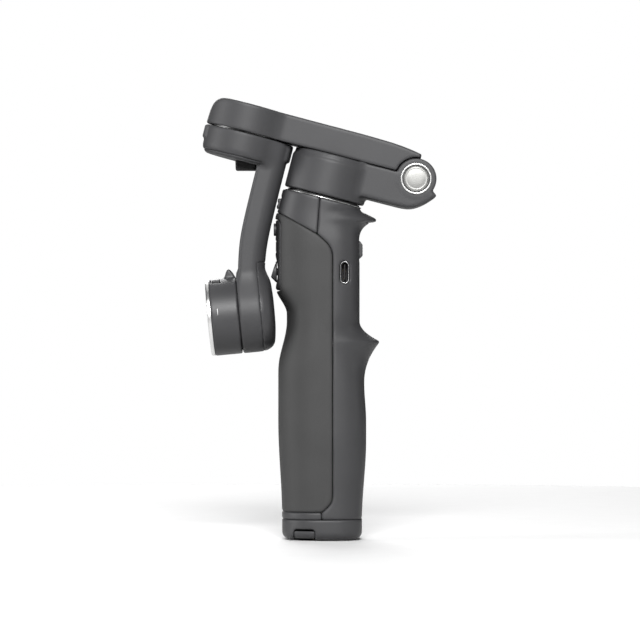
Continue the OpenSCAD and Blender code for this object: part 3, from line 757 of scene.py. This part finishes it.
def pan_housing(u, y, v):
    cup = outline(circle(u, y, 0), v, CUP)
    arm = both(outline(u, v, PAN_ARM), np.abs(y) - half_arm, 1.5)
    arm = both(arm, v - 17.0, 0.35)
    ears = both(circle(u - hinge_u, v - hinge_v, ear_r), np.abs(y) - half_arm, 0.5)
    body = join(join(cup, arm, 1.6), ears, 0.2)
    knuckle = both(circle(u - hinge_u, v - hinge_v, ear_r + run_gap), np.abs(y) - half_knuckle - run_gap)
    body = cut(body, knuckle, 0.3)
    cavity = join(circle(u, y, motor_r - 1.8), both(circle(u, y, 15.35), 15.5 - v))
    body = cut(body, cavity, 0.2)
    return cut(body, circle(u - hinge_u, v - hinge_v, 2.5))


def build_pan_arm():
    grid = ticks(-18, 46.5, 0.42), ticks(-18, 18, 0.42), ticks(-0.9, 25.6, 0.42)
    cast("pan_housing", "pan_arm", "arm_plastic", HEAD, pan_housing, grid, weighted=False)
    cap = rounded([(0, 15.5), (15.25, 15.5, 0.1), (15.25, 17, 0.35), (12.6, 17, 0.2), (12.4, 16.75, 0.1),
                   (12.0, 16.75, 0.1), (11.8, 17, 0.2), (0, 17)], closed=False)
    piece("pan_cap", "pan_arm", "arm_plastic", [(HEAD, turned(cap, 128))], ["pan_cap"])
    ring = rounded([(5.55, 0, 0.1), (6.35, 0, 0.1), (6.35, 0.7, 0.35), (5.55, 0.7, 0.35)])
    dome = rounded([(0, -0.1), (5.2, -0.1, 0.1), (5.2, 0.7, 0.35), (4.45, 1.1, 0.3), (4.1, 1.0, 0.3),
                    (2.5, 1.22, 1.0), (0, 1.28)], closed=False)
    sides = [Place(HEAD.out(np.array((hinge_u, s * half_arm, hinge_v))), (0, s, 0)) for s in (-1, 1)]
    piece("hinge_cap_rings", "pan_arm", "polished_metal", [(s, turned(ring, 96)) for s in sides],
          ["hinge_cap_rings"])
    piece("hinge_caps", "pan_arm", "pearl_metal", [(s, turned(dome, 96)) for s in sides], ["hinge_caps"])


# ---- folding arm -----------------------------------------------------------------------------------

FOLD_SIDE = rounded([(-54.4, 10), (-54.4, arm_floor), (-53.2, arm_top, 5.9), (11.5, arm_top - 0.5, 4),
                     (23, 27.9, 3), (30, 27.1, 3), (34.6, 26.2, 0.15), (34.6, 10)])


def fold_plan(u, y):
    """Seen from above: the tilt motor's disc and the bar that leads to the hinge."""
    bar_end = 35
    bar = rounded_box(u - (tilt_u + bar_end) / 2, y, (bar_end - tilt_u) / 2, half_arm, 0.6)
    return join(circle(u - tilt_u, y, motor_r), bar, 2.5)


def fold_outside(u, y, v):
    return both(outline(u, v, FOLD_SIDE), fold_plan(u, y), 0.9)


def fold_body(u, y, v):
    return both(fold_outside(u, y, v), arm_floor - v, 0.3)


lid_v = 26.9
lid_end = 23.0


def lid_plan(u, y):
    return both(fold_plan(u, y) + 2.2, u - lid_end, 1.5)


def fold_hollow(u, y, v):
    return both(both(circle(u - tilt_u, y, motor_r - 1.9), v - 27.2), fold_outside(u, y, v) + 1.3)


def fold_arm(u, y, v):
    body = fold_body(u, y, v)
    from_hinge = circle(u - hinge_u, v - hinge_v, 0)
    body = cut(body, both(from_hinge - ear_r - run_gap, half_knuckle - np.abs(y)), 0.3)
    body = cut(body, both(lid_plan(u, y), lid_v - v), 0.25)
    knuckle = both(from_hinge - ear_r + 0.3, np.abs(y) - half_knuckle, 0.4)
    body = join(body, knuckle, 0.3)
    body = cut(body, fold_hollow(u, y, v), 0.2)
    body = cut(body, both(both(slab(u, -24, 21), np.abs(y) - 7), slab(v, 19.5, 26.0)))
    return cut(body, from_hinge - 2.55)


def fold_lid(u, y, v):
    lid = both(both(fold_body(u, y, v), lid_plan(u, y) + 0.08, 0.3), lid_v + 0.05 - v, 0.1)
    return cut(lid, fold_hollow(u, y, v))


def build_fold_arm():
    grid = ticks(-56, 44, 0.45), ticks(-18, 18, 0.45), ticks(7, 30, 0.42)
    cast("fold_arm", "fold_arm", "arm_plastic", HEAD, fold_arm, grid, weighted=False)
    grid = ticks(-56, 25, 0.45), ticks(-18, 18, 0.45), ticks(26, 30, 0.3)
    cast("fold_arm_cover", "fold_arm", "arm_plastic", HEAD, fold_lid, grid, weighted=False)


# ---- tilt arm and roll motor -----------------------------------------------------------------------

TILT_CUP = rounded([(0, 6.9), (15.2, 6.9, 0.3), (15.75, 8.7, 0.6), (15.85, tilt_top, 0.3), (0, tilt_top)])
STATOR = rounded([(0, -0.15), (roll_r, -0.15, 0.05), (roll_r, -13.0, 8.0), (7.0, -14.3, 4), (0, -14.4)])
cover_w = -9.0
half_beam = 9.5


def beam(x, y, z):
    """A bar that is flat outside and round towards the handle, bent where it turns upright."""
    v = HEAD.into(x, y, z)[2]
    lean = -HEAD.axes[0][2] / HEAD.axes[0][0]

    def side(head_u, low_x, bend):
        foot = HEAD.out(np.array((head_u, 0, 0)))
        return soft_max(low_x + 0 * z, foot[0] + (z - foot[2]) * lean, bend)
    outer = both((side(-29.7, -34.6, 2.2) - x) * 0.98, np.abs(y) - half_beam, 1.6)
    inner = both((x - side(-18.4, -23.9, 2.2)) * 0.98, np.abs(y) - half_beam, 6.0)
    bar = both(np.maximum(outer, inner), v - tilt_top, 0.5)
    return both(bar, 96 - z)


def tilt_whole(x, y, z):
    """The tilt arm with the roll motor's stator before its back is cut off, and two roll coordinates."""
    u, _, v = HEAD.into(x, y, z)
    up, _, w = ROLL.into(x, y, z)
    around = circle(u - tilt_u, y, 0)
    cup = outline(around, v, TILT_CUP)
    tab = both(both(around - motor_r, slab(v, 11.3, tilt_top), 0.4), both(u - tilt_u, np.abs(y) - 5.5), 0.6)
    stator = outline(circle(up, y, 0), w, STATOR)
    lug = both(both(around - 20.6, slab(v, 9.6, tilt_top), 0.3), both(tilt_u - u, np.abs(y) - 7), 0.6)
    top = join(join(join(cup, tab, 0.3), beam(x, y, z), 2.6), lug, 0.3)
    top = both(top, v - tilt_top, 0.3)
    whole = join(top, stator, 4.5)
    facing = both(circle(up, y, roll_r + 1.6), -0.15 - w)
    whole = cut(whole, facing)
    whole = cut(whole, both(around - (motor_r - 2.5), 8.4 - v), 0.15)
    return whole, up, w


def tilt_arm(x, y, z):
    whole, up, w = tilt_whole(x, y, z)
    back = both(w - cover_w, up - 20.5)
    whole = cut(whole, back)
    whole = cut(whole, both(circle(up, y, roll_r - 1.5), cover_w - 1 - w), 0.15)
    lip = both(np.abs(circle(up, y, roll_r - 1.95)) - 0.35, slab(w, -2.0, 0.9), 0.1)
    return join(whole, lip)


def back_cover(x, y, z):
    whole, up, w = tilt_whole(x, y, z)
    cover = both(whole, both(w - cover_w - 0.12, up - 20.6, 0.3))
    return cut(cover, both(circle(up, y, roll_r - 3.6), slab(w, -12.2, 0)), 0.2)


def tilt_cap(u, y, v):
    disc = outline(circle(u - tilt_u, y, 0), v,
                   rounded([(0, 5.5), (13.6, 5.5, 0.7), (15.0, 6.85, 0.15), (0, 6.85)]))
    groove = both(np.abs(circle(u - tilt_u, y, 11.6)) - 0.22, v - 5.75)
    disc = cut(disc, groove, 0.1)
    return cut(disc, both(-29.9 - u, np.abs(y) - half_beam - 0.1), 0.2)


def bumper(u, y, v):
    side = rounded([(-39, 6.2), (-29.75, 6.2), (-29.75, 3.4, 0.3), (-37.6, 1.4, 0.5)])
    pad = both(outline(u, v, side), np.abs(y) - 5.5, 0.7)
    return both(pad, v - 5.5)


def build_tilt_arm():
    grid = ticks(-56, -10, 0.45), ticks(-17.5, 17.5, 0.45), ticks(74, 176, 0.45)
    cast("tilt_arm", "tilt_arm", "arm_plastic", WORLD, tilt_arm, grid, weighted=False)
    grid = ticks(-30, -16, 0.32), ticks(-17.5, 17.5, 0.35), ticks(73, 116, 0.35)
    cast("roll_back_cover", "tilt_arm", "roll_plastic", WORLD, back_cover, grid, blur=0, weighted=False)
    grid = ticks(tilt_u - 16, tilt_u + 16, 0.4), ticks(-16, 16, 0.4), ticks(4.8, 7.6, 0.2)
    cast("tilt_cap", "tilt_arm", "arm_plastic", HEAD, tilt_cap, grid, weighted=False)
    grid = ticks(-40, -29, 0.2), ticks(-6.2, 6.2, 0.25), ticks(0.8, 6.2, 0.2)
    cast("storage_bumper", "tilt_arm", "black_rubber", HEAD, bumper, grid)


# ---- roll head -------------------------------------------------------------------------------------

ROTOR = rounded([(0, 0.15), (roll_r, 0.15, 0.05), (roll_r, 11.3, 0.25), (0, 11.3)])
FIN = rounded([(14, 0.3), (roll_r, 0.4, 0.6), (17.6, 1.2, 0.8), (19.4, 2.7, 0.35), (18.6, 3.7, 0.6),
               (16.4, 4.6, 0.8), (14, 5.6)])
magnet_r = 1.88
MAGNETS = [(side_up * 7, side_y * 8.4) for side_up in (-1, 1) for side_y in (-1, 1)]


def roll_housing(up, y, w):
    drum = outline(circle(up, y, 0), w, ROTOR)
    fin = both(outline(up, w, FIN), np.abs(y) - 3, 0.7)
    drum = join(drum, fin, 0.5)
    drum = cut(drum, both(circle(up, y, roll_r - 1.4), w - 9.8))
    slot = both(slab(up, 12.0, FAR), both(np.abs(y) - 6.9, slab(w, 6.4, 10.3)))
    return cut(drum, slot, 0.1)


def slot_pad(up, y, w):
    """The catch that fills the middle of the slot in the drum's top."""
    pad = both(circle(up, y, roll_r - 0.05), slab(w, 6.7, 10.0), 0.2)
    pad = both(both(pad, 12.6 - up), np.abs(y) - 4.6, 0.2)
    bed = both(both(circle(up, y, roll_r - 1.5), 11.8 - up), both(np.abs(y) - 7.3, slab(w, 6.0, 10.5)))
    return join(pad, bed, 0.2)


def clamp_face(up, y, w):
    face = both(circle(up, y, 13.15), slab(w, 11.3, 12.6), 0.2)
    face = cut(face, both(np.abs(y) - 5.65, 11.8 - w), 0.3)
    for magnet_up, magnet_y in MAGNETS:
        face = cut(face, circle(up - magnet_up, y - magnet_y, magnet_r + 0.07), 0.15)
    return face


def build_roll_head():
    grid = ticks(-17, 20.4, 0.42), ticks(-17, 17, 0.42), ticks(-0.6, 12.2, 0.35)
    cast("roll_housing", "roll_head", "roll_plastic", ROLL, roll_housing, grid, weighted=False)
    grid = ticks(11.3, 16.4, 0.15), ticks(-7.6, 7.6, 0.2), ticks(5.7, 10.8, 0.15)
    cast("slot_pad", "roll_head", "black_plastic", ROLL, slot_pad, grid, own=False)
    ring = rounded([(13.25, 11.32, 0.1), (15.55, 11.32, 0.15), (15.55, 12.8, 0.6), (13.9, 12.8, 0.3),
                    (13.25, 12.2, 0.3)])
    piece("clamp_ring", "roll_head", "polished_metal", [(ROLL, turned(ring, 144))], ["clamp_ring"])
    grid = ticks(-14, 14, 0.35), ticks(-14, 14, 0.35), ticks(10.9, 13.1, 0.18)
    cast("clamp_face", "roll_head", "black_plastic", ROLL, clamp_face, grid, weighted=False)
    pill = rounded([(0, 0), (magnet_r, 0, 0.1), (magnet_r, 1.1, 0.2), (0, 1.1)], closed=False)
    magnet = turned(pill, 40)
    places = [ROLL.shifted(magnet_up, magnet_y, 11.3) for magnet_up, magnet_y in MAGNETS]
    piece("clamp_magnets", "roll_head", "magnet", [(p, magnet) for p in places], ["clamp_magnets"])

    def tick(up, y, w):
        band = both(np.abs(circle(up, y, roll_r)) - 0.07, np.abs(w - 8.5) - 0.11)
        return both(both(band, slab(up, 0.6, 3.4)), y)
    grid = ticks(0.2, 3.8, 0.1), ticks(-16.2, -14.8, 0.03), ticks(8.2, 8.8, 0.04)
    cast("index_mark", "roll_head", "frame_metal", ROLL, tick, grid, own=False, blur=0)


# ---- carried-over CAD nodes ------------------------------------------------------------------------

def dress_cad_nodes():
    """Gives every CAD node the material of its own slot in the record."""
    for part in frame["record"]["subparts"]:
        mesh = frame["nodes"][part["node"]].data
        mesh.materials.clear()
        mesh.materials.append(MATERIALS[part["material_slot"]])


# ---- studio ----------------------------------------------------------------------------------------

def build_floor():
    bpy.ops.mesh.primitive_circle_add(vertices=128, radius=0.5, fill_type="NGON", location=(0, 0, 0))
    floor = bpy.context.object
    floor.name = "floor"
    floor.location.z = cad_low.z - 0.0002
    floor.data.materials.append(finish("floor_paint", grey(0.95), 0.75, 3.0, 0.02, 0.01, 0.05))
    floor.visible_diffuse = False


def area_light(name, place, target, size, watts):
    light = bpy.data.lights.new(name, "AREA")
    light.shape = "DISK"
    light.size = size
    light.energy = watts
    lamp = bpy.data.objects.new(name, light)
    lamp.location = place
    lamp.rotation_euler = (Vector(target) - Vector(place)).to_track_quat("-Z", "Y").to_euler()
    bpy.context.scene.collection.objects.link(lamp)


def build_studio():
    middle = (cad_low + cad_high) / 2
    area_light("key", (0.0, -1.15, 0.72), middle, 0.5, 20)
    area_light("side", (-1.2, -0.15, 0.3), middle, 0.5, 6)
    area_light("rim", (1.0, -0.3, 0.3), middle, 0.4, 0.8)
    area_light("back", (-0.2, 1.3, 0.8), middle, 1.0, 13)
    area_light("top", (0, 0.3, 1.3), middle, 0.8, 2)
    world = bpy.data.worlds.new("studio")
    bpy.context.scene.world = world
    world.use_nodes = True
    nodes, links = world.node_tree.nodes, world.node_tree.links
    room = nodes["Background"]
    room.inputs["Color"].default_value = (1, 1, 1, 1)
    room.inputs["Strength"].default_value = 0.05
    bright = nodes.new("ShaderNodeBackground")
    bright.inputs["Color"].default_value = (1, 1, 1, 1)
    bright.inputs["Strength"].default_value = 1.0
    pick, path = nodes.new("ShaderNodeMixShader"), nodes.new("ShaderNodeLightPath")
    links.new(path.outputs["Is Camera Ray"], pick.inputs["Fac"])
    links.new(room.outputs["Background"], pick.inputs[1])
    links.new(bright.outputs["Background"], pick.inputs[2])
    links.new(pick.outputs["Shader"], nodes["World Output"].inputs["Surface"])
    bpy.context.scene.view_settings.view_transform = "Standard"


def build_camera():
    camera = bpy.data.objects.new("camera", bpy.data.cameras.new("camera"))
    camera.data.lens = 206
    camera.data.clip_end = 10
    camera.location = (-0.0008, -1.5, 0.0895)
    camera.rotation_euler = (math.pi / 2, 0, 0)
    bpy.context.scene.collection.objects.link(camera)
    bpy.context.scene.camera = camera


build_camera()
build_handle()
build_base_fittings()
build_neck_ring()
build_port()
build_trigger()
build_joystick()
build_buttons()
build_zoom_slider()
build_pan_arm()
build_fold_arm()
build_tilt_arm()
build_roll_head()
dress_cad_nodes()
build_floor()
build_studio()
